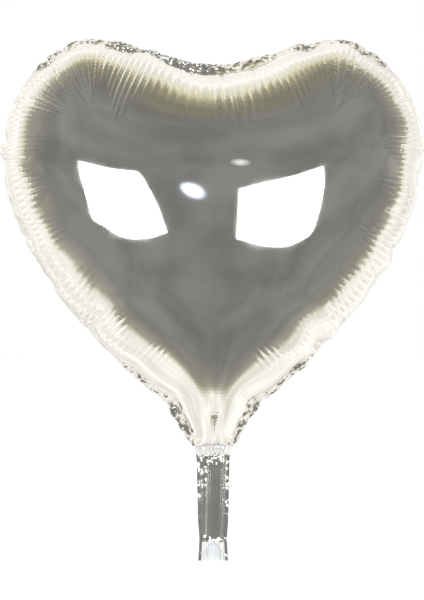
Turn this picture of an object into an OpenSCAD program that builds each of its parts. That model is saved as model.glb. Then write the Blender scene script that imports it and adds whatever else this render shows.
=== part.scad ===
// Heart-shaped foil balloon, inflated, with its flat filling tail hanging from the neck.
// Two foil sheets are welded together all round; two valve films lie between them in the
// tail and reach up into the heart. Millimetres, +Z up, the front faces -Y, and the origin
// is the point of the neck where a ribbon is tied.

/* [Heart] */
// Width of the inflated heart over the seam
heart_w = 381; // [300:1:460]
// Height of the inflated heart above the tie point
heart_h = 377; // [300:1:460]
// Thickness of the inflated heart, front to back
heart_t = 190; // [120:1:230]
// How far the cleft lies below the tops of the lobes
cleft_drop = 23; // [14:1:45]
// Width of the flat welded seam round the heart
seam_w = 8.5; // [6:0.5:12]
// How far each pucker draws the seam inwards
pucker_in = 1.6; // [0:0.1:2.5]
// Depth of the crease that each pucker starts, as a share of the heart's own depth there
crease_share = 0.14; // [0:0.01:0.25]

/* [Tail] */
// Width of the tail at its top
tail_w = 30; // [26:1:40]
// Width of the tail where the mouth begins
tail_end_w = 25; // [22:1:30]
// Width of the flared lower edge of the mouth
mouth_w = 27; // [24:1:34]
// Length of the tail and mouth below the tie point
tail_l = 96; // [80:1:140]
// Length of the mouth at the tail's lower end
mouth_l = 20; // [16:1:24]
// Width of the welds along the tail's sides
weld_w = 3; // [2:0.5:4]

/* [Films] */
// Thickness that stands in for one foil sheet
foil_t = 0.5; // [0.3:0.1:0.8]
// Thickness that stands in for one valve film
film_t = 0.25; // [0.15:0.05:0.4]
// Length of the valve above the neck, inside the heart
valve_l = 105; // [60:1:140]

/* [Hidden] */

foil_colour = [0.82, 0.82, 0.8];
rear_colour = [0.74, 0.74, 0.73];
seam_colour = [0.62, 0.62, 0.62];
film_colour = [0.86, 0.9, 0.93, 0.6];

half_w = heart_w / 2;
neck_top = 6.5;                 // where the heart ends and the neck begins
neck_half = 19;                 // half the neck's width there
centre_z = 0.6 * heart_h;       // the deepest point of the heart
rings = 13;                     // rings of facets from the centre to the seam
puckers_every = 4;              // outline points from one crease to the next
ply_gap = 0.05;                 // between a foil ply and the film inside it
film_gap = 0.1;                 // from the middle plane to each valve film
ply_in = film_gap + film_t + ply_gap;   // inner face of a foil ply in the tail
ply_out = ply_in + foil_t;              // outer face of a foil ply in the tail
weld_half = ply_out - 0.2;              // half the thickness of a side weld
end_z = mouth_l - tail_l;               // hinge line between the tail and its end
hinge_gap = 1.2;                // free height above each fold line
neck_hinge_z = neck_top - hinge_gap;    // the neck's fold line
sway_z = 2;                     // centre of the tail's sideways swing
tongue_r = 14;                  // radius of the neck's round lower end
sway_gap = 0.4;                 // clearance round that end
tongue_step = 4;                // degrees from one point of that round end to the next
neck_taper = 1;                 // how much each side of the neck's band draws in lower down
pleat_r = 0.9 * foil_t;         // radius of the gathered pleats on the neck
pleat_h = 8;                    // height of a pleat
pleat_drop = 1;                 // from the sway's centre down to the pleats
pleat_pitch = 4;                // from one pleat to the next
pleats_half = 8;                // from the middle to the outermost pleats
gate_side = 4;                  // weld left at each side of the opening into the neck
lip_low_half = 11;              // half the valve's width at its foot
lip_top_half = 9;               // and at its free end
lip_foot = 4;                   // from the heart's lower end to the valve's foot
lip_notch = 5;                  // radius of the notch in the valve's free end
neck_film_in = 3;               // from the neck's edge to its films
film_in = 1;                    // from a side weld to the films beside it
tail_top = -4.5;                // upper corners of the tail
mouth_gap = 1.5;                // free height below the end's fold line
arch_r = 6.5;                   // radius of the arched filling mouth
arch_drop = 10;                 // from the mouth's top to the arch's centre
lip_gap = 0.3;                  // clearance beside the mouth's moving plies

// A point on a cubic Bezier curve, and the curve's points without its last one.
function bezier(p, t) = let (u = 1 - t)
    u * u * u * p[0] + 3 * u * u * t * p[1] + 3 * u * t * t * p[2] + t * t * t * p[3];
function curve(p, n) = [for (i = [0 : n - 1]) bezier(p, i / n)];

// Right half of the heart's outer edge, from the cleft to the neck.
cleft = [0, heart_h - cleft_drop];
lobe_top = [0.59 * half_w, heart_h];
widest = [half_w, 0.74 * heart_h];
flank = [0.265 * half_w, 0.133 * heart_h];
neck = [neck_half, neck_top];
half_edge = concat(
    curve([cleft, cleft + [0.2 * half_w, 0], lobe_top - [0.21 * half_w, 0], lobe_top], 11),
    curve([lobe_top, lobe_top + [0.21 * half_w, 0], widest + [0, 0.12 * heart_h], widest], 13),
    curve([widest, widest - [0, 0.195 * heart_h], flank + [0.47 * half_w, 0.213 * heart_h], flank], 26),
    curve([flank, flank - [0.073 * half_w, 0.033 * heart_h], neck + [5, 13], neck], 6),
    [neck, [0.3 * neck_half, neck_top], [0, neck_top]]);
half_n = len(half_edge);
edge = concat(half_edge, [for (i = [half_n - 2 : -1 : 1]) [-half_edge[i][0], half_edge[i][1]]]);
edge_n = len(edge);
neck_step = half_n - 3;         // the outline's point at the corner of the neck

// Steps from the cleft to a point of the edge, the shorter way round.
function edge_step(i) = min(i, edge_n - i);

// How strongly a pucker acts on a point of the edge: 1 at a crease, 0 away from one.
function crease(i) = (edge_step(i) % puckers_every == 2 && edge_step(i) < neck_step - 4) ? 1 : 0;

// Unit vector from a point of the edge towards the inside of the heart; the points across
// the neck stay where they are.
function inward(i) = let (
    a = edge[(i + edge_n - 1) % edge_n],
    b = edge[(i + 1) % edge_n],
    d = b - a)
    edge_step(i) > neck_step ? [0, 0]
    : edge_step(i) == neck_step ? [i < half_n ? -1 : 1, 0]
    : [d[1], -d[0]] / norm(d);

// The heart's outline, moved inwards by a distance, drawn in at each crease and cut level.
function outline(inset, low) = [for (i = [0 : edge_n - 1])
    let (p = edge[i] + inward(i) * (inset + pucker_in * crease(i)))
    [p[0], edge_step(i) >= neck_step ? low : max(p[1], low)]];

// The heart's depth as a share of its middle depth: r is 0 at the centre and 1 at the seam,
// and the shape is rounder towards the lobes than towards the neck.
function depth_share(r, p) = let (up = (p[1] - centre_z) / norm(p - [0, centre_z]))
    pow(1 - pow(r, 2.5 + 0.5 * up), 0.7 - 0.08 * up);
function crease_reach(r) = r < 0.7 ? 0 : pow((r - 0.7) / 0.3, 1.5);

// One skin of the foil: a centre point, then rings out to the seam.
function skin(inset, depth) = let (rim = outline(seam_w + inset, neck_top + inset)) concat(
    [[0, -depth - foil_t, centre_z]],
    [for (k = [1 : rings]) for (i = [0 : edge_n - 1]) let (
        r = 1 - pow(1 - k / rings, 1.5),
        p = [0, centre_z] * (1 - r) + rim[i] * r,
        d = depth * depth_share(r, rim[i]) * (1 - crease_share * crease(i) * crease_reach(r)))
        [p[0], -d - foil_t, p[1]]]);

// Facets of a skin whose first point is number s; flip turns their direction round.
function turned(f, flip) = flip ? [f[2], f[1], f[0]] : f;
function skin_faces(s, flip) = concat(
    [for (i = [0 : edge_n - 1]) turned([s, s + 1 + (i + 1) % edge_n, s + 1 + i], flip)],
    [for (k = [0 : rings - 2]) for (i = [0 : edge_n - 1]) for (half = [0, 1]) let (
        a = s + 1 + k * edge_n + i,
        b = s + 1 + k * edge_n + (i + 1) % edge_n)
        turned(half == 0 ? [a, b, b + edge_n] : [a, b + edge_n, a + edge_n], flip)]);

// Blown half of the heart: two skins one foil apart, joined round the rim.
module blown_half() {
    skin_n = 1 + rings * edge_n;
    rim = 1 + (rings - 1) * edge_n;
    depth = heart_t / 2 - foil_t;
    points = concat(skin(0, depth), skin(foil_t, depth - foil_t));
    rim_faces = [for (i = [0 : edge_n - 1]) for (half = [0, 1]) let (
        a = rim + i,
        b = rim + (i + 1) % edge_n)
        turned(half == 0 ? [a, b, b + skin_n] : [a, b + skin_n, a + skin_n], true)];
    polyhedron(points, concat(skin_faces(0, true), skin_faces(skin_n, false), rim_faces));
}

module front_foil() {
    color(foil_colour) blown_half();
}

module rear_foil() {
    color(rear_colour) mirror([0, 1, 0]) blown_half();
}

// A flat piece drawn in X and Z, between two distances in front of the middle plane.
module sheet(y_low, y_high) {
    translate([0, y_high, 0]) rotate([90, 0, 0]) linear_extrude(height = y_high - y_low) children();
}

// The flat weld of both sheets round the heart, open where the neck leaves it.
module seam_flange() {
    color(seam_colour) sheet(-foil_t, foil_t) difference() {
        polygon(outline(0, neck_top));
        polygon(outline(seam_w, neck_top));
        translate([-neck_half + gate_side, neck_top - seam_w])
            square([2 * (neck_half - gate_side), 2 * seam_w]);
    }
}

// One inner end of the valve, from the neck up into the heart.
module valve_lip(side) {
    color(film_colour) sheet(
        side < 0 ? -film_gap - film_t : film_gap,
        side < 0 ? -film_gap : film_gap + film_t)
    difference() {
        polygon([
            [-lip_low_half, neck_top + lip_foot], [lip_low_half, neck_top + lip_foot],
            [lip_top_half, neck_top + valve_l], [-lip_top_half, neck_top + valve_l]]);
        translate([0, neck_top + valve_l]) circle(r = lip_notch, $fn = 48);
    }
}

module valve_front_lip() {
    valve_lip(-1);
}

module valve_rear_lip() {
    valve_lip(1);
}

// The neck seen from the front: a band under the heart with a round tongue below it.
module neck_shape(inset) {
    top_half = neck_half - neck_taper - inset;
    low_half = top_half - neck_taper;
    polygon(concat(
        [[-low_half, sway_z], [-top_half, neck_hinge_z], [top_half, neck_hinge_z], [low_half, sway_z]],
        [for (a = [0 : -tongue_step : -180]) [0, sway_z] + (tongue_r - inset) * [cos(a), sin(a)]]));
}

// Foil ply of the neck, with the pleats that the tie gathers.
module neck_ply(side) {
    sheet(side < 0 ? -ply_out : ply_in, side < 0 ? -ply_in : ply_out) neck_shape(0);
    for (x = [-pleats_half : pleat_pitch : pleats_half])
        translate([x, side * ply_out, sway_z - pleat_drop - pleat_h])
            cylinder(r = pleat_r, h = pleat_h, $fn = 24);
}

module neck_front_ply() {
    color(foil_colour) neck_ply(-1);
}

module neck_rear_ply() {
    color(rear_colour) neck_ply(1);
}

module neck_front_film() {
    color(film_colour) sheet(-film_gap - film_t, -film_gap) neck_shape(neck_film_in);
}

module neck_rear_film() {
    color(film_colour) sheet(film_gap, film_gap + film_t) neck_shape(neck_film_in);
}

// Half the tail's width at a height.
function tail_half(z) = let (s = z / end_z) (tail_w + (tail_end_w - tail_w) * s) / 2;

// The tail seen from the front, narrowed at both sides, with its top cut round the neck.
module tail_shape(inset) {
    low = end_z + hinge_gap;
    difference() {
        polygon([
            [-tail_half(tail_top) + inset, tail_top], [tail_half(tail_top) - inset, tail_top],
            [tail_half(low) - inset, low], [-tail_half(low) + inset, low]]);
        translate([0, sway_z]) circle(r = tongue_r + sway_gap, $fn = 96);
    }
}

module tail_front_ply() {
    color(foil_colour) sheet(-ply_out, -ply_in) tail_shape(weld_w);
}

module tail_rear_ply() {
    color(rear_colour) sheet(ply_in, ply_out) tail_shape(weld_w);
}

module tail_front_film() {
    color(film_colour) sheet(-film_gap - film_t, -film_gap) tail_shape(weld_w + film_in);
}

module tail_rear_film() {
    color(film_colour) sheet(film_gap, film_gap + film_t) tail_shape(weld_w + film_in);
}

// The weld along one side of the tail, where both plies are one.
module tail_weld(side) {
    color(seam_colour) sheet(-weld_half, weld_half) intersection() {
        difference() {
            tail_shape(0);
            tail_shape(weld_w);
        }
        translate([side < 0 ? -tail_w : 0, -tail_l]) square([tail_w, tail_l]);
    }
}

module tail_left_weld() {
    tail_weld(-1);
}

module tail_right_weld() {
    tail_weld(1);
}

// The mouth seen from the front, narrowed at both sides.
module mouth_shape(inset, top) {
    polygon([
        [-tail_end_w / 2 + inset, top], [tail_end_w / 2 - inset, top],
        [mouth_w / 2 - inset, -tail_l], [-mouth_w / 2 + inset, -tail_l]]);
}

// The weld down one side of the mouth, which carries the two moving lips.
module end_weld(side) {
    color(seam_colour) sheet(-weld_half, weld_half) intersection() {
        difference() {
            mouth_shape(0, end_z);
            mouth_shape(weld_w, end_z - 1);
        }
        translate([side < 0 ? -mouth_w : 0, -tail_l]) square([mouth_w, mouth_l]);
    }
}

module end_left_weld() {
    end_weld(-1);
}

module end_right_weld() {
    end_weld(1);
}

// Front foil of the mouth, cut away in an arch where the filling nozzle goes in.
module mouth_front_ply() {
    color(foil_colour) sheet(-ply_out, -ply_in) difference() {
        mouth_shape(weld_w + lip_gap, end_z - mouth_gap);
        translate([0, end_z - arch_drop]) circle(r = arch_r, $fn = 64);
        translate([-arch_r, end_z - arch_drop - mouth_l]) square([2 * arch_r, mouth_l]);
    }
}

module mouth_rear_ply() {
    color(rear_colour) sheet(ply_in, ply_out) mouth_shape(weld_w + lip_gap, end_z - mouth_gap);
}

module mouth_front_film() {
    color(film_colour) sheet(-film_gap - film_t, -film_gap) mouth_shape(weld_w + film_in, end_z - mouth_gap);
}

module mouth_rear_film() {
    color(film_colour) sheet(film_gap, film_gap + film_t) mouth_shape(weld_w + film_in, end_z - mouth_gap);
}

front_foil();
rear_foil();
seam_flange();
valve_front_lip();
valve_rear_lip();
neck_front_ply();
neck_rear_ply();
neck_front_film();
neck_rear_film();
tail_front_ply();
tail_rear_ply();
tail_left_weld();
tail_right_weld();
tail_front_film();
tail_rear_film();
end_left_weld();
end_right_weld();
mouth_front_ply();
mouth_rear_ply();
mouth_front_film();
mouth_rear_film();
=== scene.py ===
"""Looks of an inflated heart-shaped foil balloon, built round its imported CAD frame.

Two flat foil hearts are welded along their edge and blown up by a cloth simulation. The
blown shape is fitted to the CAD's outline, gets the creases and fine ribs of gathered film,
and is split into the front sheet, the rear sheet and the welded seam. The neck, the tail
and the valve are modelled as the creased strips of film that they are. Metres, +Z up, and
the front faces -Y.
"""

import math

import bpy
import numpy as np
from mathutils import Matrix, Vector
from mathutils.geometry import delaunay_2d_cdt
from mathutils.kdtree import KDTree


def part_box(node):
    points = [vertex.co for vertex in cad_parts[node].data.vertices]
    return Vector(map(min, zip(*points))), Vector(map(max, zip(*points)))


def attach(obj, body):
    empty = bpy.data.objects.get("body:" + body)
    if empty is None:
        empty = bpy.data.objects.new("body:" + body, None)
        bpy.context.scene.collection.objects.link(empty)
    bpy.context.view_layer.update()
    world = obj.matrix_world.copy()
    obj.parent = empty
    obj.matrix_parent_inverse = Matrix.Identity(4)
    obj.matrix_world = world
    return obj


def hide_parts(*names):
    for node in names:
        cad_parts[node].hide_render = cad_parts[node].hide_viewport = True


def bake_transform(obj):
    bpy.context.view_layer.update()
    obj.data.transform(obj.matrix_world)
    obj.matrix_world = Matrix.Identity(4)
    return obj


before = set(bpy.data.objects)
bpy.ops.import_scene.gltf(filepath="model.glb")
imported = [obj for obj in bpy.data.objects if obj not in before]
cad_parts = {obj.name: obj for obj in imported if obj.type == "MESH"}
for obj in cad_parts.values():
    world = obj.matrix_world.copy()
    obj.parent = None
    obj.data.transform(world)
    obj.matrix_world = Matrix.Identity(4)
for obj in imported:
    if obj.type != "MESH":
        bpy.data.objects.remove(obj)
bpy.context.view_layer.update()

MM = 0.001

# ------------------------ sizes taken from the frame
seam_low, seam_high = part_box("seam_flange")
foil_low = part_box("front_foil")[0]
tail_weld_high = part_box("tail_right_weld")[1]
end_weld_low, end_weld_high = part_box("end_right_weld")

HEART_TOP = seam_high.z
NECK_TOP = seam_low.z
HALF_T = -foil_low.y
CENTRE_Z = 0.6 * HEART_TOP          # the deepest point of the heart
TAIL_TOP = tail_weld_high.z
TAIL_END = end_weld_low.z
TAIL_HALF = tail_weld_high.x
END_FOLD = end_weld_high.z          # fold line between the tail and its end
MOUTH_HALF = end_weld_high.x
PLY_Y = 0.6 * MM                    # how far a ply of the tail lies from the middle plane

# ------------------------ the flat cut
FLAT_W = 0.457                      # an 18 inch heart, over its seam
SEAM_W = 9 * MM                     # width of the weld before it puckers
CUT_HALF_W = FLAT_W / 2 - SEAM_W
CUT_H = 0.4277                      # height of the cut inside the weld
CURVE_POINTS = 60                   # points along each of its curves
# Bezier controls of the right half of the cut, as shares of its half width and its height,
# from the cleft to the neck.
CUT_CURVES = (
    ((0.00, 0.965), (0.17, 0.965), (0.31, 1.000), (0.49, 1.000)),
    ((0.49, 1.000), (0.76, 1.000), (1.00, 0.875), (1.00, 0.694)),
    ((1.00, 0.694), (1.00, 0.498), (0.73, 0.255), (0.27, 0.093)),
    ((0.27, 0.093), (0.19, 0.064), (0.117, 0.028), (0.099, 0.000)),
)

# ------------------------ the cloth simulation
MESH_STEP = 4.4 * MM                # spacing of the film's mesh
WELD_RINGS = 3                      # rows of mesh across the weld
NEAREST = 0.62                      # least distance of a point from the weld, in mesh steps
START_SLOPE = 0.15                  # how the sheets part at the weld before they are blown up,
START_GAP = 3 * MM                  # and how far they start from the middle plane at most
SIM_SCALE = 10.0                    # the solver is steadier on a large object
SIM_FRAMES = 36
FILM = {
    "quality": 6, "mass": 0.02 * (MESH_STEP / (4 * MM)) ** 2, "air_damping": 1.0,
    "bending_model": "ANGULAR",
    "tension_stiffness": 60, "compression_stiffness": 8, "shear_stiffness": 20, "bending_stiffness": 0.01,
    "tension_damping": 5, "compression_damping": 5, "shear_damping": 5, "bending_damping": 0.5,
    "use_pressure": True, "uniform_pressure_force": 10.0, "vertex_group_pressure": "gas",
}
FRONT, REAR, WELD = 0, 1, 2         # the parts of the pouch, as material numbers


def bezier(controls, count):
    """Points along a cubic Bezier curve, without its last one."""
    p0, p1, p2, p3 = (np.array(p, float) for p in controls)
    t = np.linspace(0, 1, count, endpoint=False)[:, None]
    u = 1 - t
    return u**3 * p0 + 3 * u * u * t * p1 + 3 * u * t * t * p2 + t**3 * p3


def spaced_loop(points, step):
    """The same closed outline, as points one step apart."""
    closed = np.vstack([points, points[:1]])
    run = np.concatenate([[0], np.cumsum(np.linalg.norm(np.diff(closed, axis=0), axis=1))])
    count = int(round(run[-1] / step))
    at = np.linspace(0, run[-1], count, endpoint=False)
    return np.stack([np.interp(at, run, closed[:, k]) for k in (0, 1)], 1)


def flat_outline():
    """The weld's inner edge on the flat heart, one mesh step between its points."""
    half = np.vstack([bezier(c, CURVE_POINTS) for c in CUT_CURVES] + [[CUT_CURVES[-1][-1]]])
    half = half * (CUT_HALF_W, CUT_H)
    other = (half * (-1, 1))[::-1][:-1]
    return spaced_loop(np.vstack([half, other]), MESH_STEP)


def outward_normals(loop):
    run = np.roll(loop, -1, 0) - np.roll(loop, 1, 0)
    run /= np.linalg.norm(run, axis=1)[:, None]
    normals = np.stack([run[:, 1], -run[:, 0]], 1)
    centre = loop.mean(0)
    return normals if ((loop - centre) * normals).sum() > 0 else -normals


def inside(points, loop):
    """Which points lie in a closed outline."""
    x, z = points[:, 0], points[:, 1]
    found = np.zeros(len(points), bool)
    for (ax, az), (bx, bz) in zip(loop, np.roll(loop, -1, 0)):
        found ^= ((az > z) != (bz > z)) & (x < (bx - ax) * (z - az) / (bz - az + 1e-12) + ax)
    return found


def tree_of(points):
    tree = KDTree(len(points))
    for i, p in enumerate(points):
        tree.insert((p[0], p[1], 0), i)
    tree.balance()
    return tree


def flat_points(loop):
    """The outline, then a hexagonal lattice inside it; and each point's distance from the weld."""
    row_step = MESH_STEP * math.sqrt(3) / 2
    rows = []
    for i, z in enumerate(np.arange(0, CUT_H, row_step)):
        xs = np.arange(-CUT_HALF_W, CUT_HALF_W, MESH_STEP) + (i % 2) * MESH_STEP / 2
        rows.append(np.stack([xs, np.full_like(xs, z)], 1))
    lattice = np.vstack(rows)
    lattice = lattice[inside(lattice, loop)]
    following = np.roll(loop, -1, 0)
    tree = tree_of(np.vstack([loop * (1 - t) + following * t for t in (0, 0.25, 0.5, 0.75)]))
    distance = np.array([tree.find((p[0], p[1], 0))[2] for p in lattice])
    keep = distance > NEAREST * MESH_STEP
    points = np.vstack([loop, lattice[keep]])
    return points, np.concatenate([np.zeros(len(loop)), distance[keep]])


def flat_pouch():
    """Two flat hearts that share their outline, with the weld round it as one layer.
    Returns the points, the triangles, each triangle's part, and the number of gas-tight points."""
    loop = flat_outline()
    n = len(loop)
    points, distance = flat_points(loop)
    edges = [(i, (i + 1) % n) for i in range(n)]
    cut = delaunay_2d_cdt([Vector(p) for p in points], edges, [], 1, 1e-7)
    gap = np.minimum(START_SLOPE * distance, START_GAP)
    front = np.stack([points[:, 0], -gap, points[:, 1]], 1)
    rear = (front * (1, -1, 1))[n:]
    normals = outward_normals(loop)
    step = SEAM_W / WELD_RINGS
    rings = [loop + normals * step * (k + 1) for k in range(WELD_RINGS)]
    for ring in rings:                  # the weld is cut off level at the neck
        ring[:, 1] = np.maximum(ring[:, 1], 0)
    weld = np.vstack([np.stack([r[:, 0], np.zeros(n), r[:, 1]], 1) for r in rings])
    tight = len(front) + len(rear)
    faces, parts = [], []
    for a, b, c in cut[2]:
        (ax, az), (bx, bz), (cx, cz) = points[a], points[b], points[c]
        if (bx - ax) * (cz - az) - (bz - az) * (cx - ax) < 0:
            b, c = c, b
        faces.append((a, b, c))
        parts.append(FRONT)
        ra, rb, rc = (i if i < n else i - n + len(front) for i in (a, b, c))
        faces.append((ra, rc, rb))
        parts.append(REAR)

    def ring_point(k, i):
        return i % n if k == 0 else tight + (k - 1) * n + i % n

    for k in range(WELD_RINGS):
        for i in range(n):
            if max(loop[i, 1], loop[(i + 1) % n, 1]) < MM:
                continue                # the neck is open here
            a, b = ring_point(k, i), ring_point(k, i + 1)
            c, d = ring_point(k + 1, i + 1), ring_point(k + 1, i)
            faces += [(a, b, c), (a, c, d)] if (i + k) % 2 else [(a, b, d), (b, c, d)]
            parts += [WELD, WELD]
    used, renumbered = np.unique(np.array(faces), return_inverse=True)
    points = np.vstack([front, rear, weld])[used]
    return points, renumbered.reshape(-1, 3), parts, tight


def placed(name, data):
    """A new object in the scene."""
    obj = bpy.data.objects.new(name, data)
    bpy.context.scene.collection.objects.link(obj)
    return obj


def mesh_object(name, points, faces):
    """A smooth-shaded object."""
    mesh = bpy.data.meshes.new(name)
    mesh.from_pydata([tuple(p) for p in points], [], [tuple(int(i) for i in f) for f in faces])
    mesh.update()
    mesh.polygons.foreach_set("use_smooth", np.ones(len(mesh.polygons), bool))
    return placed(name, mesh)


def coordinates(mesh):
    co = np.zeros(len(mesh.vertices) * 3, np.float32)
    mesh.vertices.foreach_get("co", co)
    return co.reshape(-1, 3).astype(float)


def blow_up(points, faces, tight):
    """Simulates the film under gas pressure and returns where its points come to rest."""
    pouch = mesh_object("pouch", points * SIM_SCALE, faces)
    pouch.vertex_groups.new(name="gas").add(list(range(tight)), 1.0, "REPLACE")
    cloth = pouch.modifiers.new("film", "CLOTH")
    film = cloth.settings
    for name, value in FILM.items():
        setattr(film, name, value)
    film.effector_weights.gravity = 0
    cloth.collision_settings.use_collision = False
    cloth.collision_settings.use_self_collision = False
    for number in range(1, SIM_FRAMES + 1):
        bpy.context.scene.frame_set(number)
    blown = coordinates(pouch.evaluated_get(bpy.context.evaluated_depsgraph_get()).data)
    bpy.data.objects.remove(pouch)
    bpy.context.scene.frame_set(1)
    return blown / SIM_SCALE


# ------------------------ fitting the blown shape to the frame
LEAN_START = (0.8, 1.2)             # radians from straight up where the weld begins to lean back,
LEAN_STOP = (2.35, 2.85)            # and where it stands up again, above the neck
LEAN_ROOM = 7.0 * MM                # how far the weld draws in where it leans back
# Each round of drawing the blown heart to the CAD's outline: directions round the middle, how
# many neighbouring ones are evened out, how quickly the effect dies out inwards, and the
# greatest angle from straight up at which it acts in full.
FIT_ROUNDS = ((180, 9, 2, 4.0), (240, 3, 5, 2.6), (360, 3, 8, 2.6))
FIT_FADE = 0.25                     # radians over which it dies out beyond that angle
AIM_WIDTH = 9                       # how many directions of the CAD's outline are evened out
OPEN_NECK = 8 * MM                  # height above the neck over which the film counts as rim
NECK_ZONE = 75 * MM                 # height over which the heart's width is fitted to the CAD's
NECK_FADE = 30 * MM                 # its upper part, where the effect dies out
NECK_REACH = 4 * MM                 # how far up and down the width at each level is taken from
NECK_WIDTH = 17                     # how many levels are evened out
RIM_TURNS = 2                       # how often the kinks along the weld are smoothed,
CALM_TURNS = 40                     # and the coarse folds in the film


def smooth_step(x, low, high):
    t = np.clip((x - low) / (high - low), 0, 1)
    return t * t * (3 - 2 * t)


def around_centre(points):
    """Angle from straight up and distance, in the heart's plane, about its centre."""
    x, z = points[:, 0], points[:, 2] - CENTRE_Z
    return np.arctan2(x, z), np.hypot(x, z)


def smooth_round(values, width):
    """A moving average round a closed loop."""
    kernel = np.hanning(width + 2)[1:-1]
    kernel /= kernel.sum()
    side = width // 2
    padded = np.concatenate([values[-side:], values, values[:side]])
    return np.convolve(padded, kernel, "same")[side:-side]


def rim_by_angle(points, angles):
    """The outermost distance of a set of points at each of the angles."""
    angle, distance = around_centre(points)
    nearest = np.abs((angle[None, :] - angles[:, None] + math.pi) % (2 * math.pi) - math.pi)
    width = 1.5 * (angles[1] - angles[0])
    return np.array([distance[row < width].max() for row in nearest])


def at_sides(angle):
    """1 down the heart's two sides, where the weld leans back, and 0 at its top and its neck."""
    turned = np.abs(angle)
    return smooth_step(turned, *LEAN_START) * (1 - smooth_step(turned, *LEAN_STOP))


def fit_to_frame(points, tight):
    """Draws the blown heart to the CAD's outline and depth, most at the rim."""
    points = points.copy()
    low, high = points[:, 2].min(), points[:, 2].max()
    points[:, 2] = NECK_TOP + (points[:, 2] - low) * (HEART_TOP - NECK_TOP) / (high - low)
    cad = np.vstack([along_edges(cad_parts[name].data) for name in ("seam_flange", "front_foil")])
    for step_count, smoothing, power, widest in FIT_ROUNDS:
        angles = np.linspace(-math.pi, math.pi, step_count, endpoint=False)
        rim = points[(np.arange(len(points)) >= tight) | (points[:, 2] < NECK_TOP + OPEN_NECK)]
        aim = smooth_round(rim_by_angle(cad, angles), AIM_WIDTH) + LEAN_ROOM * at_sides(angles)
        have = smooth_round(rim_by_angle(rim, angles), smoothing)
        angle, distance = around_centre(points)
        factor = np.interp(angle, angles, aim / have, period=2 * math.pi)
        factor = 1 + (factor - 1) * (1 - smooth_step(np.abs(angle), widest, widest + FIT_FADE))
        reach = np.interp(angle, angles, have, period=2 * math.pi)
        pull = np.clip(distance / reach, 0, 1) ** power
        scale = 1 + (factor - 1) * pull
        points[:, 0] *= scale
        points[:, 2] = CENTRE_Z + (points[:, 2] - CENTRE_Z) * scale
    points[:, 0] *= width_near_neck(points, cad)
    points[:, 1] *= HALF_T / np.abs(points[:, 1]).max()
    return points


def width_near_neck(points, cad):
    """How much wider the heart has to be at each point's height, low down where it narrows."""
    levels = np.arange(NECK_TOP, NECK_TOP + NECK_ZONE, MM)
    wide = [[np.abs(p[np.abs(p[:, 2] - z) < NECK_REACH, 0]).max() for z in levels] for p in (points, cad)]
    kernel = np.hanning(NECK_WIDTH + 2)[1:-1]
    factor = np.pad(np.array(wide[1]) / np.array(wide[0]), NECK_WIDTH // 2, "edge")
    factor = np.convolve(factor, kernel / kernel.sum(), "valid")
    factor = 1 + (factor - 1) * smooth_step(-levels, -levels[-1], -levels[-1] + NECK_FADE)
    return np.interp(points[:, 2], levels, factor, right=1.0)


def along_edges(mesh):
    """Points along every edge of a mesh, so that a coarse outline has no gaps."""
    co = coordinates(mesh)
    ends = np.array([tuple(e.vertices) for e in mesh.edges])
    a, b = co[ends[:, 0]], co[ends[:, 1]]
    return np.vstack([a * (1 - t) + b * t for t in np.linspace(0, 1, 8)])


def finer(points, faces, parts, levels):
    """The same mesh after subdivision: its points, its faces and their parts."""
    obj = mesh_object("finer", points, faces)
    for _ in (FRONT, REAR, WELD):
        obj.data.materials.append(None)
    obj.data.polygons.foreach_set("material_index", np.array(parts, np.int32))
    step = obj.modifiers.new("finer", "SUBSURF")
    step.levels = step.render_levels = levels
    step.boundary_smooth = "PRESERVE_CORNERS"
    mesh = obj.evaluated_get(bpy.context.evaluated_depsgraph_get()).data
    co = coordinates(mesh)
    quads = np.zeros(len(mesh.polygons) * 4, np.int32)
    mesh.polygons.foreach_get("vertices", quads)
    numbers = np.zeros(len(mesh.polygons), np.int32)
    mesh.polygons.foreach_get("material_index", numbers)
    bpy.data.objects.remove(obj)
    return co, quads.reshape(-1, 4), numbers


# ------------------------ creases and ribs of the film
RUN_STEP = 0.25 * MM                # how finely places along the weld are told apart
RIB_PITCH = 6.8 * MM                # from one rib of gathered film to the next, on the flat cut
RIB_HEIGHT = 1.1 * MM
RIB_REACH = 82 * MM                 # how far from the weld the ribs die out at the sides
RIB_REACH_TOP = 112 * MM            # and between the lobes
CREASE_WIDTH = 1.0 * MM
CREASE_SPREAD = 1.8 * MM            # from a crease's middle to each of its two valleys
CREASE_DEPTH = 1.7 * MM
CREASE_REACH = 60 * MM
PUCKER_GAP = 26 * MM                # the least distance between two creases
TUCK_LOW = 9 * MM                   # the upright fold above the neck: its low end,
TUCK_TOP = 38 * MM                  # its top,
TUCK_DEPTH = 7 * MM                 # and how deep it is there
TUCK_HALF = 2.6 * MM                # half its width
TUCK_LINE = ((8 * MM, 28 * MM, 38 * MM), (-1.5 * MM, 0.5 * MM, 1.5 * MM))     # its heights and their x
WELD_CRUMPLE = 1.8 * MM             # height of the crumples in the weld,
WELD_PITCH = 9 * MM                 # and their size
WELD_GRAIN = (0.4 * MM, 0.6 * MM)   # height of the finer ones, and how much more at the top
WELD_GRAIN_PITCH = 4 * MM
WELD_FRAY = 0.5 * MM                # how much the weld's outer edge runs in and out,
FRAY_PITCH = 7 * MM                 # and how closely
WELD_LEAN = 1.9                     # how steeply it leans back down the two sides,
WELD_TILT = (0.25, 0.5)             # at the neck, and how much more than that at the top
WELD_DRAWN = 0.75                   # how much narrower it looks where it leans back


def mesh_normals(co, quads):
    """Unit normals at the points of a quad mesh."""
    a, b, c, d = (co[quads[:, k]] for k in range(4))
    face = np.cross(c - a, d - b)
    normals = np.zeros_like(co)
    for k in range(4):
        np.add.at(normals, quads[:, k], face)
    return normals / np.maximum(np.linalg.norm(normals, axis=1), 1e-12)[:, None]


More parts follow.
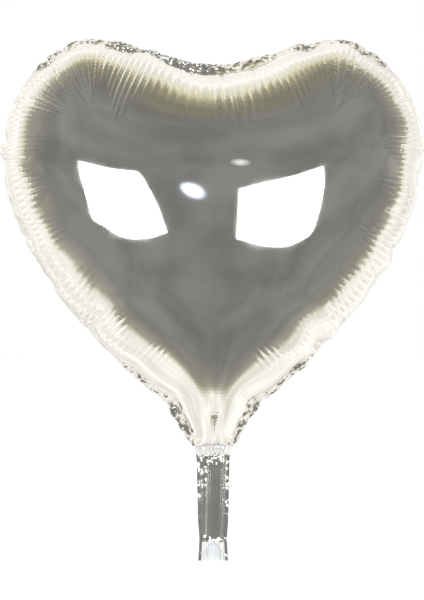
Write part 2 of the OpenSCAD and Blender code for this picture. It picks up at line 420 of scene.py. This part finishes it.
def pucker_places(points, loop_count):
    """Distances round the flat weld at which the blown weld is drawn in."""
    distance = around_centre(points[:loop_count])[1]
    dip = smooth_round(distance, 11) - smooth_round(distance, 3)
    places = []
    for i in np.argsort(-dip):
        at = i * MESH_STEP
        whole = loop_count * MESH_STEP
        clear = all(min(abs(at - p), whole - abs(at - p)) > PUCKER_GAP for p in places)
        if dip[i] > 0.25 * MM and clear:
            places.append(at)
    return sorted(places)


def crease_film(co, quads, flat, numbers, puckers, loop):
    """Raises the fine ribs all round and a sharp double crease at each pucker."""
    fine_loop = spaced_loop(loop, RUN_STEP)
    tree = tree_of(fine_loop)
    film = np.unique(quads[numbers != WELD])
    found = [tree.find((p[0], p[2], 0)) for p in flat[film]]
    run = np.array([f[1] for f in found]) * RUN_STEP
    away = np.array([f[2] for f in found])
    whole = len(fine_loop) * RUN_STEP
    top = smooth_step(fine_loop[:, 1], 0.75 * CUT_H, CUT_H)[[f[1] for f in found]]
    side = np.where(flat[film, 1] < 0, 0.0, 1.7)

    wander = 0.7 * np.sin(run / (41 * MM) + side) + 0.2 * np.sin(run / (13 * MM) + 2 * side)
    strength = smooth_step(np.sin(run / (23 * MM) + 3 * side + 1.0), -1.1, 0.6)
    strength = (0.35 + 0.65 * strength) * smooth_step(flat[film, 2], 85 * MM, 150 * MM)
    reach = RIB_REACH + (RIB_REACH_TOP - RIB_REACH) * top
    reach = reach * (0.85 + 0.15 * np.sin(run / (9 * MM) + side))
    fade = smooth_step(away, 4 * MM, 30 * MM) * smooth_step(-away, -reach, -0.62 * reach)
    ribs = RIB_HEIGHT * strength * fade * np.abs(np.sin(math.pi * run / RIB_PITCH + wander))

    creases = np.zeros(len(film))
    for number, place in enumerate(puckers):
        offset = (run - place + whole / 2) % whole - whole / 2
        length = CREASE_REACH * (0.72 + 0.28 * math.sin(2.4 * number + 0.7))
        taper = smooth_step(away, 1 * MM, 9 * MM) * np.clip(1 - away / length, 0, 1) ** 0.6
        taper = taper * smooth_step(flat[film, 2], 100 * MM, 150 * MM)
        for valley in (-CREASE_SPREAD, CREASE_SPREAD):
            creases -= CREASE_DEPTH * taper * np.exp(-((offset - valley) / CREASE_WIDTH) ** 2)
    out = co.copy()
    out[film] += mesh_normals(co, quads)[film] * (ribs + creases)[:, None]
    return out


def tuck_neck(co, quads, flat, numbers):
    """Draws the film in along the short upright fold above the neck, front and rear."""
    out = co.copy()
    film = np.unique(quads[numbers != WELD])
    x, z = out[film][:, [0, 2]].T
    middle = np.interp(z, *TUCK_LINE)
    across = np.exp(-(((x - middle) / TUCK_HALF) ** 2) ** 1.5)
    along = np.clip((z - TUCK_LOW) / (TUCK_TOP - TUCK_LOW), 0, 1)
    along = along * (1 - smooth_step(z, TUCK_TOP, TUCK_TOP + 3 * MM))
    out[film, 1] -= np.sign(flat[film, 1]) * TUCK_DEPTH * across * along
    return out


def crumple(points, pitch, seed):
    """Height of crumpled film at flat points, from about -1 to 1: sharp ridges in all directions."""
    picks = np.random.default_rng(seed)
    height = np.zeros(len(points))
    for _ in range(7):
        turn = picks.uniform(0, math.pi)
        scale = 2 * math.pi / (pitch * picks.uniform(0.7, 1.6))
        along = points[:, 0] * math.cos(turn) + points[:, 1] * math.sin(turn)
        across = -points[:, 0] * math.sin(turn) + points[:, 1] * math.cos(turn)
        bend = 0.5 * np.sin(across * scale * 0.43 + picks.uniform(0, 6.3))
        height += np.abs(np.sin(along * scale / 2 + bend + picks.uniform(0, 3.1))) - 0.64
    return height / 2.2


def crumple_weld(co, quads, flat, numbers, loop):
    """Crumples the flat weld across its face and frays its outer edge a little."""
    tree = tree_of(spaced_loop(loop, MM))
    weld = np.setdiff1d(np.unique(quads[numbers == WELD]), np.unique(quads[numbers != WELD]))
    away = np.array([tree.find((p[0], p[2], 0))[2] for p in flat[weld]])
    grow = smooth_step(away, 0, 3 * MM)
    plane = flat[weld][:, [0, 2]]
    out = co.copy()
    angle = around_centre(out[weld])[0]
    lean = at_sides(angle) * (0.85 + 0.15 * np.sin(9 * angle))
    upper = smooth_step(np.cos(angle), -0.2, 0.3)
    crumples = WELD_CRUMPLE * crumple(plane, WELD_PITCH, 3)
    crumples += (WELD_GRAIN[0] + WELD_GRAIN[1] * upper) * crumple(plane, WELD_GRAIN_PITCH, 4)
    out[weld, 1] += grow * (1 - 0.6 * lean) * crumples
    out[weld, 1] += (WELD_LEAN * lean + (WELD_TILT[0] + WELD_TILT[1] * upper) * (1 - lean)) * away
    outwards = WELD_FRAY * grow * crumple(plane, FRAY_PITCH, 8) - WELD_DRAWN * lean * away
    out[weld, 0] += np.sin(angle) * outwards
    out[weld, 2] += np.cos(angle) * outwards
    return out


def part_of(name, co, quads, numbers, part):
    """One part of the pouch as an object of its own."""
    chosen = quads[numbers == part]
    used, renumbered = np.unique(chosen, return_inverse=True)
    return mesh_object(name, co[used], renumbered.reshape(-1, 4))


def calm(points, faces, weight, turns):
    """Draws each point towards the mean of its neighbours, by its own weight, several times."""
    edges = np.vstack([faces[:, [0, 1]], faces[:, [1, 2]], faces[:, [2, 0]]])
    edges = np.vstack([edges, edges[:, ::-1]])
    count = np.bincount(edges[:, 0], minlength=len(points))[:, None]
    for _ in range(turns):
        mean = np.zeros_like(points)
        np.add.at(mean, edges[:, 0], points[edges[:, 1]])
        points = points + weight[:, None] * (mean / np.maximum(count, 1) - points)
    return points


def film_weight(flat):
    """Where the film's coarse folds are calmed: most at the cleft, least by the weld."""
    cleft = np.exp(-(flat[:, 0] / (75 * MM)) ** 2) * smooth_step(flat[:, 2], 0.62 * CUT_H, 0.85 * CUT_H)
    tree = tree_of(flat_outline())
    away = np.array([tree.find((p[0], p[2], 0))[2] for p in flat])
    film = smooth_step(away, 2 * MM, 18 * MM) * (np.abs(flat[:, 1]) > 0)
    inner = 0.25 + 0.55 * smooth_step(away, 45 * MM, 90 * MM)
    return film * np.maximum(cleft, inner)


def rim_weight(flat):
    """Where the weld's kinks are calmed: everywhere but at the neck."""
    return 0.5 * (flat[:, 1] == 0) * smooth_step(flat[:, 2], 25 * MM, 50 * MM)


def make_heart():
    points, faces, parts, tight = flat_pouch()
    loop = flat_outline()
    blown = blow_up(points, faces, tight)
    fitted = fit_to_frame(calm(blown, faces, rim_weight(points), RIM_TURNS), tight)
    fitted = calm(fitted, faces, film_weight(points), CALM_TURNS)
    co, quads, numbers = finer(fitted, faces, parts, 2)
    flat = finer(points, faces, parts, 2)[0]
    co = crease_film(co, quads, flat, numbers, pucker_places(fitted, len(loop)), loop)
    co = tuck_neck(co, quads, flat, numbers)
    co = crumple_weld(co, quads, flat, numbers, loop)
    x, z = loop[:, 0], loop[:, 1]
    cut_area = 0.5 * abs(float(np.sum(x * np.roll(z, -1) - np.roll(x, -1) * z)))
    pieces = (("front_sheet", FRONT), ("rear_sheet", REAR), ("welded_rim", WELD))
    return [part_of(name, co, quads, numbers, part) for name, part in pieces] + [cut_area]


# ------------------------ neck, tail and mouth
STRIP_TOP = 13 * MM                 # the neck's film starts inside the heart
NECK_CUT = 0                        # where one piece of the film ends and the next begins
FOLD_CUT = END_FOLD + 16 * MM
MOUTH_CUT = END_FOLD - 3 * MM
WELD_W = 3 * MM                     # the weld down each side of the tail
CHANNEL_HALF = 6.6 * MM             # half the valve channel's width between its folds
ARCH_R = 6.5 * MM                   # the arched filling hole in the front ply
ARCH_Z = TAIL_END + 10 * MM
GRAIN = 0.35 * MM                   # spacing of the strips' mesh
SEALED_Y = 0.12 * MM                # how far the film lies from the middle plane where it is sealed
CHANNEL_SHIFT = (1 * MM, 2.6 * MM)  # how far to the right the channel lies, low in the tail and at its top
CHANNEL_SWELL = 0.3 * MM
LINE_HEIGHT = 2.3 * MM              # the channel's two folds
LINE_WIDTH = 1.0 * MM
PINCH_Z = 0.5 * MM                  # where the neck is gathered most,
PINCH_REACH = 7 * MM                # and how far up and down the gathers reach
PLEAT_HEIGHT = 2.7 * MM
PLEAT_PITCH = 4.4 * MM
TRAIL_HEIGHT = 0.6 * MM             # the fine folds that run on down the channel
TRAIL_PITCH = 2.7 * MM
TRAIL_FADE = 11 * MM                # how far down they reach,
TRAIL_HALF = 4 * MM                 # and how far to each side
FLUTE_HEIGHT = 1.7 * MM             # the waves in the mouth's flared edge
FLUTE_PITCH = 4.1 * MM
ROUGH = (0.6 * MM, 0.55 * MM, 1.1 * MM)     # crumples of the tail's margins, mouth and neck
ROUGH_PITCH = 9 * MM
SEAM_CRUMPLE = 0.8 * MM
PROFILE = ((TAIL_END, MOUTH_HALF), (END_FOLD, MOUTH_HALF - 1.1 * MM), (FOLD_CUT, TAIL_HALF - 1.2 * MM),
           (TAIL_TOP, TAIL_HALF), (NECK_TOP, TAIL_HALF + 1.5 * MM), (STRIP_TOP, TAIL_HALF - 4 * MM))


def strip_half(z):
    """Half the width of the neck, the tail and the mouth at a height."""
    return np.interp(z, [p[0] for p in PROFILE], [p[1] for p in PROFILE])


def crumpled(x, z, pitch, seed):
    """Crumple of a strip, clipped so that no ridge reaches the other ply."""
    flat = np.stack([x.ravel(), z.ravel()], 1)
    return np.maximum(crumple(flat, pitch, seed).reshape(x.shape), -0.7)


def ply_height(side):
    """Returns height(x, z): how far in front of the middle plane a ply lies, or behind it."""
    seed = 20 if side > 0 else 60

    def height(x, z):
        shift = np.interp(z, (END_FOLD, TAIL_TOP), CHANNEL_SHIFT)
        from_channel = np.abs(x - shift) - CHANNEL_HALF
        in_tail = smooth_step(z, END_FOLD - MM, END_FOLD + 5 * MM) * smooth_step(-z, 2 * MM, 9 * MM)
        margin = smooth_step(from_channel, 1.0 * MM, 3.0 * MM)
        lines = LINE_HEIGHT * in_tail * np.exp(-(from_channel / LINE_WIDTH) ** 2)
        swell = CHANNEL_SWELL * in_tail * np.clip(1 - ((x - shift) / CHANNEL_HALF) ** 2, 0, 1)

        pinch = np.exp(-((z - PINCH_Z) / PINCH_REACH) ** 2)
        sway = 0.8 * np.sin(z / (4 * MM) + side) + 0.5 * np.sin(x / (3 * MM))
        pleats = PLEAT_HEIGHT * pinch * np.abs(np.sin(math.pi * x / PLEAT_PITCH + sway + side))
        below = smooth_step(-z, 0, 6 * MM) * np.exp(np.minimum(z, 0) / TRAIL_FADE)
        trails = TRAIL_HEIGHT * below * np.exp(-((x - shift) / TRAIL_HALF) ** 2)
        pleats += trails * np.sin(math.pi * (x - shift) / TRAIL_PITCH) ** 2

        down = smooth_step(-z, 0.5 * MM - END_FOLD, -TAIL_END)
        flare = smooth_step(-z, -END_FOLD - 4 * MM, -END_FOLD + 4 * MM)
        flutes = FLUTE_HEIGHT * flare * (0.5 + 0.9 * down) * np.sin(math.pi * x / FLUTE_PITCH + side) ** 2
        rough = ROUGH[0] * margin * in_tail * smooth_step(z, 0.75 * END_FOLD, 0.1 * END_FOLD)
        rough = rough + ROUGH[1] * flare * (1 - 0.6 * down) + ROUGH[2] * pinch
        out = PLY_Y + lines + swell + pleats + flutes + rough * crumpled(x, z, ROUGH_PITCH, seed)
        open_film = smooth_step(strip_half(z) - WELD_W - np.abs(x), -0.3 * MM, 2.2 * MM)
        return side * (SEALED_Y + np.maximum(out - SEALED_Y, 0.1 * MM) * open_film)
    return height


def film_height(side):
    """The valve film lies inside its ply and follows it at a shallower depth."""
    ply = ply_height(side)
    return lambda x, z: side * 0.06 * MM + 0.45 * ply(x, z)


def weld_height(x, z):
    """The welds down the tail's sides are flat, with a crumpled outer edge."""
    beyond = np.abs(x) - (strip_half(z) - WELD_W)
    upper = 0.35 + 0.65 * smooth_step(z, 0.9 * END_FOLD, 0.3 * END_FOLD)
    return SEAM_CRUMPLE * upper * smooth_step(beyond, 0, 1.2 * MM) * crumpled(x, z, ROUGH_PITCH, 7)


def strip(name, top, low, left, right, height, arch=False):
    """A strip of film as a fine grid. left(z) and right(z) are its edges and height(x, z) how
    far it stands towards the front. Where arch is true, the filling hole is cut out of it."""
    middle = (top + low) / 2
    columns = max(4, int((right(middle) - left(middle)) / GRAIN))
    rows = max(4, int((top - low) / GRAIN))
    u = np.linspace(0, 1, columns + 1)
    if arch:
        share = np.clip((-ARCH_R, ARCH_R), left(ARCH_Z), right(ARCH_Z)) - left(ARCH_Z)
        share = share / (right(ARCH_Z) - left(ARCH_Z))
        for s in share[(share > 0) & (share < 1)]:
            u[np.argmin(np.abs(u - s))] = s
    z = np.repeat(np.linspace(top, low, rows + 1)[:, None], columns + 1, 1)
    x = left(z) + (right(z) - left(z)) * u
    keep = np.ones((rows, columns), bool)
    if arch:
        hole = np.sqrt(np.maximum(ARCH_R**2 - x**2, 0))
        cut = int(round((top - ARCH_Z) / (top - low) * rows))
        edge = np.where(np.abs(x) < ARCH_R + 1e-7, ARCH_Z + hole, ARCH_Z)
        v = np.arange(rows + 1)[:, None] / cut
        z = np.where(v <= 1, top + (edge - top) * v, ARCH_Z + (low - ARCH_Z) * (v - 1) / (rows / cut - 1))
        x = left(z) + (right(z) - left(z)) * u
        over = np.abs(x[cut]) < ARCH_R - 1e-5
        keep[cut:] = ~(over[:-1] | over[1:])
    points = np.stack([x.ravel(), -height(x, z).ravel(), z.ravel()], 1)
    i, j = np.nonzero(keep)
    a = i * (columns + 1) + j
    faces = np.stack([a, a + columns + 1, a + columns + 2, a + 1], 1)
    used, renumbered = np.unique(faces, return_inverse=True)
    return mesh_object(name, points[used], renumbered.reshape(-1, 4))


def at_side(sign, inset):
    """The strip's edge on one side, moved in."""
    return lambda z: sign * (strip_half(z) - inset)


def at_zero(z):
    return 0 * z


def coat(piece, material):
    piece.data.materials.append(material)


def finish_film(piece, material):
    coat(piece, material)


# Each stretch of the strip: its name, its top, its low end, its bodies and its bending zone.
STRETCHES = (
    ("neck", STRIP_TOP, NECK_CUT, ("heart", "neck"), 8.5 * MM, 2.5 * MM),
    ("tail", NECK_CUT, FOLD_CUT, ("neck", "tail"), -0.5 * MM, -9 * MM),
    ("fold", FOLD_CUT, MOUTH_CUT, ("tail", "tail_end"), END_FOLD + 3 * MM, END_FOLD - 3 * MM),
)
SIDES = (("front", 1, "mouth_front"), ("rear", -1, "mouth_rear"))
HANDS = (("left", -1), ("right", 1))


def make_seam(name, top, low, sign, node, welded):
    """A stretch of the weld down one side of the tail."""
    edges = sorted((at_side(sign, 0), at_side(sign, WELD_W)), key=lambda edge: edge(0))
    weld = strip(name, top, low, *edges, weld_height)
    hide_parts(node)
    coat(weld, welded)
    return weld


def make_strip_pieces(foil, crinkled, welded, film):
    """Neck, tail and mouth: two foil plies, two valve films and the welds along the sides."""
    seam = WELD_W - 0.4 * MM
    film_inset = WELD_W + MM
    for name, top, low, bodies, start, end in STRETCHES:
        gathered = ("neck", 0, 1.3, crinkled)           # this film is wider when flat
        node, ply_inset, spread, cover = gathered if name == "neck" else ("tail", seam, 1.1, foil)
        for word, side, _ in SIDES:
            ply = strip(f"{name}_{word}_foil", top, low, at_side(-1, ply_inset), at_side(1, ply_inset),
                        ply_height(side))
            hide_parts(f"{node}_{word}_ply")
            finish_film(ply, cover)
            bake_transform(ply)
            valve = strip(f"{name}_{word}_valve", top, low, at_side(-1, film_inset),
                          at_side(1, film_inset), film_height(side))
            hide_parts(f"{node}_{word}_film")
            finish_film(valve, film)
            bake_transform(valve)
        if name == "neck":
            continue
        for word, sign in HANDS:
            weld = make_seam(f"{name}_{word}_seam", top, low, sign, f"tail_{word}_weld", welded)
            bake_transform(weld)

    for word, side, body in SIDES:
        for hand, sign in HANDS:
            for layer, inset, height, material, slot in (
                    ("foil", seam, ply_height(side), crinkled, "mirror_foil"),
                    ("valve", film_inset, film_height(side), film, "clear_film")):
                edges = sorted((at_side(sign, inset), at_zero), key=lambda edge: edge(TAIL_END))
                arched = (word, layer) == ("front", "foil")
                piece = strip(f"mouth_{word}_{layer}_{hand}", MOUTH_CUT, TAIL_END, *edges, height, arched)
                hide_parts(f"mouth_{word}_{'ply' if layer == 'foil' else 'film'}")
                finish_film(piece, material)
                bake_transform(piece)
    for word, sign in HANDS:
        weld = make_seam(f"mouth_{word}_seam", MOUTH_CUT, TAIL_END, sign, f"end_{word}_weld", welded)
        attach(weld, "tail_end")


def make_valve_lips(film):
    """The valve's inner ends, which lie against each other inside the heart."""
    for word, side, _ in SIDES:
        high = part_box(f"valve_{word}_lip")[1]
        foot = STRIP_TOP

        def half(z):
            return np.interp(z, (foot, high.z), (high.x, 0.82 * high.x))

        def height(x, z):
            ripple = np.sin(z / (9 * MM) + 0.6 * side) * np.sin(x / (4 * MM) + z / (30 * MM))
            return side * (0.25 * MM + 0.7 * MM * smooth_step(z, foot, foot + 20 * MM) * (1 + ripple))

        lip = strip(f"valve_{word}_film", high.z, foot, lambda z: -half(z), half, height)
        co = coordinates(lip.data)
        notch = np.sqrt(np.maximum((5 * MM) ** 2 - co[:, 0] ** 2, 0))
        co[:, 2] -= notch * ((co[:, 2] - foot) / (high.z - foot)) ** 8
        lip.data.vertices.foreach_set("co", co.ravel())
        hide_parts(f"valve_{word}_lip")
        finish_film(lip, film)
        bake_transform(lip)


# ------------------------ materials
NOISE_MIDDLE = (0.35, 0.65)         # the range that most of a noise's values lie in
SILVER = ((0.905, 0.90, 0.885), (0.94, 0.935, 0.92))            # dark and light tone
SILVER_WELD = ((0.84, 0.835, 0.82), (0.92, 0.915, 0.90))
SILVER_GATHERS = ((0.88, 0.88, 0.875), (0.94, 0.94, 0.935))
CLEAR = ((0.80, 0.85, 0.90), (0.95, 0.97, 0.98))


def new_material(name):
    material = bpy.data.materials.new(name)
    material.use_nodes = True
    return material, material.node_tree, material.node_tree.nodes["Principled BSDF"]


def feed(tree, socket, value):
    """Sets a socket to a value, or links another node's socket to it."""
    if isinstance(value, bpy.types.NodeSocket):
        tree.links.new(value, socket)
    else:
        socket.default_value = value


def noise_of(tree, scale, detail, stretch=(1, 1, 1), coordinates="Object"):
    """A noise texture, stretched along chosen axes. An object's coordinates are its own metres."""
    place = tree.nodes.new("ShaderNodeTexCoord")
    mapping = tree.nodes.new("ShaderNodeMapping")
    mapping.inputs["Scale"].default_value = stretch
    noise = tree.nodes.new("ShaderNodeTexNoise")
    noise.inputs["Scale"].default_value = scale
    noise.inputs["Detail"].default_value = detail
    tree.links.new(place.outputs[coordinates], mapping.inputs["Vector"])
    tree.links.new(mapping.outputs["Vector"], noise.inputs["Vector"])
    return noise.outputs["Fac"]


def map_range(tree, value, before, after=(0, 1), kind="LINEAR"):
    """Maps one range of numbers onto another."""
    node = tree.nodes.new("ShaderNodeMapRange")
    node.interpolation_type = kind
    for name, number in zip(("From Min", "From Max", "To Min", "To Max"), (*before, *after)):
        node.inputs[name].default_value = number
    tree.links.new(value, node.inputs["Value"])
    return node.outputs["Result"]


def colour_ramp(tree, value, stops):
    """Maps a number onto colours. Each stop is a position and its colour."""
    node = tree.nodes.new("ShaderNodeValToRGB")
    elements = node.color_ramp.elements
    while len(elements) < len(stops):
        elements.new(0.5)
    for element, (position, colour) in zip(elements, stops):
        element.position = position
        element.color = (*colour, 1)
    tree.links.new(value, node.inputs["Fac"])
    return node.outputs["Color"]


def tones(tree, noise, dark, light):
    """Maps a noise onto two colours and what lies between them."""
    return colour_ramp(tree, noise, list(zip(NOISE_MIDDLE, (dark, light))))


def bump(tree, shader, height, strength, distance):
    node = tree.nodes.new("ShaderNodeBump")
    node.inputs["Strength"].default_value = strength
    node.inputs["Distance"].default_value = distance
    tree.links.new(height, node.inputs["Height"])
    tree.links.new(node.outputs["Normal"], shader.inputs["Normal"])


def foil_material(name, silver, haze, grain, strength, depth, metal=1.0):
    """Metallised film: a mirror with cloudy haze, faint tone changes and a fine grain."""
    material, tree, shader = new_material(name)
    shader.inputs["Metallic"].default_value = metal
    tree.links.new(tones(tree, noise_of(tree, 22, 4), *silver), shader.inputs["Base Color"])
    roughness = map_range(tree, noise_of(tree, 48, 5), NOISE_MIDDLE, haze)
    tree.links.new(roughness, shader.inputs["Roughness"])
    bump(tree, shader, noise_of(tree, grain, 3), strength, depth)
    return material


def clear_material(name):
    """Clear polyethylene film, slightly cloudy, with fine wrinkles along its length."""
    material, tree, shader = new_material(name)
    shader.inputs["Alpha"].default_value = 0.35
    shader.inputs["IOR"].default_value = 1.5
    tree.links.new(tones(tree, noise_of(tree, 120, 3), *CLEAR), shader.inputs["Base Color"])
    roughness = map_range(tree, noise_of(tree, 200, 3), NOISE_MIDDLE, (0.10, 0.28))
    tree.links.new(roughness, shader.inputs["Roughness"])
    bump(tree, shader, noise_of(tree, 500, 4, (1, 1, 0.2)), 0.4, 0.2 * MM)
    return material


# ------------------------ the studio
VIEW_W = 0.384                      # width of the camera's view at the balloon
CAMERA_DISTANCE = 1.6
CAMERA_Z = 0.140
CAMERA_X = -0.001
FLOOR_Z = -0.36
FLOOR_HALF = 14.0
FLOOR_TONES = ((0.93, 0.93, 0.925), (0.95, 0.95, 0.945))
BACKDROP = 1.0                      # brightness of the backdrop

# Brightness of the surroundings on the way from the grey room in front (below 0) past its
# edge (0) to the pale walls, and to a little grey behind the balloon.
ROOM = (
    (-1.00, (0.215, 0.214, 0.208)), (-0.50, (0.235, 0.232, 0.222)), (-0.20, (0.320, 0.310, 0.268)),
    (-0.06, (0.415, 0.400, 0.325)), (0.00, (0.58, 0.56, 0.44)), (0.07, (0.76, 0.74, 0.62)),
    (0.16, (0.93, 0.92, 0.85)), (0.34, (0.99, 0.98, 0.93)), (0.78, (0.95, 0.94, 0.89)),
    (0.90, (0.86, 0.85, 0.81)),
)
CLOUDS = ((0.84, 0.825, 0.80), (1.18, 1.18, 1.18))      # least and most light on the walls
CLOUD_SCALE = 3.2
CEILING = (0.83, 0.81, 0.68)        # tint straight above,
CEILING_EDGE = (0.84, 0.97)         # which sets in between these heights
ROOM_EDGE = 0.08                    # how far behind the balloon the room's edge lies, level
ROOM_EDGE_TURN = 0.06               # how much more towards the right,
ROOM_EDGE_DROP = 0.27               # how much less below,
ROOM_EDGE_BELOW = 0.48              # and how much less again straight below,
ROOM_BELOW_HALF = 0.55              # within this distance to each side
ROOM_SHARPER = 1.5                  # how much sharper the edge is straight below,
ROOM_PALE = 0.16                    # up to where the walls are pale
# Each soft light: its corners' x and z on the plane in front of the balloon, and its strength.
LIGHT_PLANE = -1.55
SOFT_LIGHTS = (
    (((-1.46, 0.65), (-0.72, 0.65), (-0.43, 0.06), (-1.79, -0.25)), (4.0, 4.0, 4.0)),
    (((0.25, 0.41), (1.05, 0.68), (1.33, -0.25), (0.22, -0.01)), (3.9, 3.9, 3.8)),
)
# Each small round light: its middle's x and z on that plane, its half width and half height,
# how far its right end hangs, in degrees, and its strength.
ROUND_LIGHTS = (
    ((-0.190, 0.405), (0.17, 0.080), 28, (1.5, 1.6, 1.8)),
    ((0.275, 0.79), (0.13, 0.10), 0, (0.55, 0.55, 0.53)),
)


def math_node(tree, operation, first, second):
    node = tree.nodes.new("ShaderNodeMath")
    node.operation = operation
    feed(tree, node.inputs[0], first)
    feed(tree, node.inputs[1], second)
    return node.outputs[0]


def mix_node(tree, kind, factor, first, second):
    """Mixes two colours, or multiplies them."""
    node = tree.nodes.new("ShaderNodeMix")
    node.data_type = "RGBA"
    node.blend_type = kind
    colours = [socket for socket in node.inputs if socket.type == "RGBA"]
    feed(tree, node.inputs["Factor"], factor)
    feed(tree, colours[0], first)
    feed(tree, colours[1], second)
    return [socket for socket in node.outputs if socket.type == "RGBA"][0]


def make_world():
    """The room that the foil mirrors, seen by glossy rays alone, and a plain backdrop."""
    world = bpy.data.worlds.new("studio")
    world.use_nodes = True
    tree = world.node_tree
    place = tree.nodes.new("ShaderNodeTexCoord")
    axes = tree.nodes.new("ShaderNodeSeparateXYZ")
    tree.links.new(place.outputs["Generated"], axes.inputs[0])
    x, y, z = axes.outputs

    def calc(operation, first, second):
        return math_node(tree, operation, first, second)

    below = calc("MAXIMUM", calc("MULTIPLY", z, -1.0), 0.0)
    aside = calc("DIVIDE", x, ROOM_BELOW_HALF)
    middle = calc("MAXIMUM", calc("SUBTRACT", 1.0, calc("MULTIPLY", aside, aside)), 0.0)
    straight = calc("MULTIPLY", calc("POWER", below, 4.0), middle)
    drop = calc("ADD", calc("MULTIPLY", below, ROOM_EDGE_DROP), calc("MULTIPLY", straight, ROOM_EDGE_BELOW))
    drop = calc("SUBTRACT", drop, calc("MULTIPLY", x, ROOM_EDGE_TURN))
    beyond = calc("SUBTRACT", calc("ADD", y, drop), ROOM_EDGE)
    sharpened = calc("MULTIPLY", beyond, calc("ADD", 1.0, calc("MULTIPLY", below, ROOM_SHARPER)))
    beyond = calc("MINIMUM", sharpened, calc("MAXIMUM", beyond, ROOM_PALE))

    low, high = ROOM[0][0], ROOM[-1][0]
    share = map_range(tree, beyond, (low, high))
    stops = [((position - low) / (high - low), colour) for position, colour in ROOM]
    room = colour_ramp(tree, share, stops)
    cloud = noise_of(tree, CLOUD_SCALE, 3, coordinates="Generated")
    walls = mix_node(tree, "MULTIPLY", 1.0, room, tones(tree, cloud, *CLOUDS))
    above = map_range(tree, z, CEILING_EDGE, kind="SMOOTHSTEP")
    around = mix_node(tree, "MULTIPLY", above, walls, (*CEILING, 1))
    mirrored = tree.nodes.new("ShaderNodeLightPath").outputs["Is Glossy Ray"]
    seen = mix_node(tree, "MIX", mirrored, (BACKDROP, BACKDROP, BACKDROP, 1), around)
    tree.links.new(seen, tree.nodes["Background"].inputs["Color"])
    bpy.context.scene.world = world


def glowing_panel(kind, number, points, colour):
    """A glowing panel that the camera does not see, with its material's tree and shader."""
    panel = mesh_object(f"{kind}_panel_{number}", points, [tuple(range(len(points)))])
    material, tree, shader = new_material(f"{kind}_glow_{number}")
    shader.inputs["Base Color"].default_value = (0, 0, 0, 1)
    shader.inputs["Emission Color"].default_value = (*(c / max(colour) for c in colour), 1)
    shader.inputs["Emission Strength"].default_value = max(colour)
    panel.data.materials.append(material)
    panel.visible_camera = False
    return panel, tree, shader


def make_lights():
    """Glowing panels in front, which the foil mirrors, and one wide light overhead."""
    for number, (corners, colour) in enumerate(SOFT_LIGHTS):
        points = [(x, LIGHT_PLANE, z) for x, z in corners]
        glowing_panel("soft", number, points, colour)[0]
    for number, ((x, z), (half_x, half_z), tilt, colour) in enumerate(ROUND_LIGHTS):
        turn = np.linspace(0, 2 * math.pi, 48, endpoint=False)
        ring = [(math.cos(t), 0, math.sin(t)) for t in turn]
        disc, tree, shader = glowing_panel("round", number, ring, colour)
        disc.location = (x, LIGHT_PLANE, z)
        disc.scale = (half_x, 1, half_z)
        disc.rotation_euler = (0, math.radians(tilt), 0)
        place = tree.nodes.new("ShaderNodeTexCoord")
        fade = tree.nodes.new("ShaderNodeTexGradient")
        fade.gradient_type = "SPHERICAL"
        tree.links.new(place.outputs["Object"], fade.inputs["Vector"])
        glow = math_node(tree, "MULTIPLY", fade.outputs["Fac"], 2 * max(colour))
        tree.links.new(glow, shader.inputs["Emission Strength"])
        alpha = math_node(tree, "MINIMUM", math_node(tree, "MULTIPLY", fade.outputs["Fac"], 3.0), 1.0)
        tree.links.new(alpha, shader.inputs["Alpha"])
    light = bpy.data.lights.new("overhead", "AREA")
    light.size = 1.6
    light.energy = 18
    overhead = placed("overhead", light)
    overhead.location = (0.1, -0.2, 1.9)
    overhead.visible_camera = False
    overhead.visible_glossy = False


def make_floor():
    corners = [(x * FLOOR_HALF, y * FLOOR_HALF, FLOOR_Z) for x, y in ((-1, -1), (1, -1), (1, 1), (-1, 1))]
    floor = mesh_object("floor", corners, [(0, 1, 2, 3)])
    material, tree, shader = new_material("pale_floor")
    tree.links.new(tones(tree, noise_of(tree, 3, 3), *FLOOR_TONES), shader.inputs["Base Color"])
    shader.inputs["Roughness"].default_value = 0.8
    shader.inputs["Emission Color"].default_value = (1, 1, 1, 1)
    shader.inputs["Emission Strength"].default_value = 0.11
    floor.data.materials.append(material)
    floor.visible_glossy = False        # the foil mirrors the room down to below the horizon


def make_camera():
    camera = bpy.data.cameras.new("camera")
    camera.sensor_fit = "HORIZONTAL"
    camera.sensor_width = 24.0
    camera.lens = camera.sensor_width * CAMERA_DISTANCE / VIEW_W
    obj = placed("camera", camera)
    obj.location = (CAMERA_X, -CAMERA_DISTANCE, CAMERA_Z)
    obj.rotation_euler = (math.pi / 2, 0, 0)
    bpy.context.scene.camera = obj


# ------------------------ everything together
make_camera()
make_world()
make_lights()
make_floor()
bpy.context.scene.view_settings.view_transform = "Standard"

mirror_foil = foil_material("mirror_foil", SILVER, haze=(0.035, 0.075),
                            grain=900, strength=0.05, depth=0.1 * MM)
welded_foil = foil_material("welded_foil", SILVER_WELD, haze=(0.08, 0.20),
                            grain=420, strength=0.35, depth=0.4 * MM)
tail_foil = foil_material("tail_foil", SILVER, haze=(0.10, 0.19),
                          grain=600, strength=0.3, depth=0.2 * MM)
crinkled_foil = foil_material("crinkled_foil", SILVER_GATHERS, haze=(0.30, 0.45),
                              grain=500, strength=0.3, depth=0.4 * MM, metal=0.55)
clear_film = clear_material("clear_film")

front_sheet, rear_sheet, welded_rim, cut_area = make_heart()
for piece, node, material, slot in ((front_sheet, "front_foil", mirror_foil, "mirror_foil"),
                                    (rear_sheet, "rear_foil", mirror_foil, "mirror_foil"),
                                    (welded_rim, "seam_flange", welded_foil, "welded_foil")):
    coat(piece, material)
    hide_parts(node)
    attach(piece, "heart")

make_strip_pieces(tail_foil, crinkled_foil, welded_foil, clear_film)
make_valve_lips(clear_film)
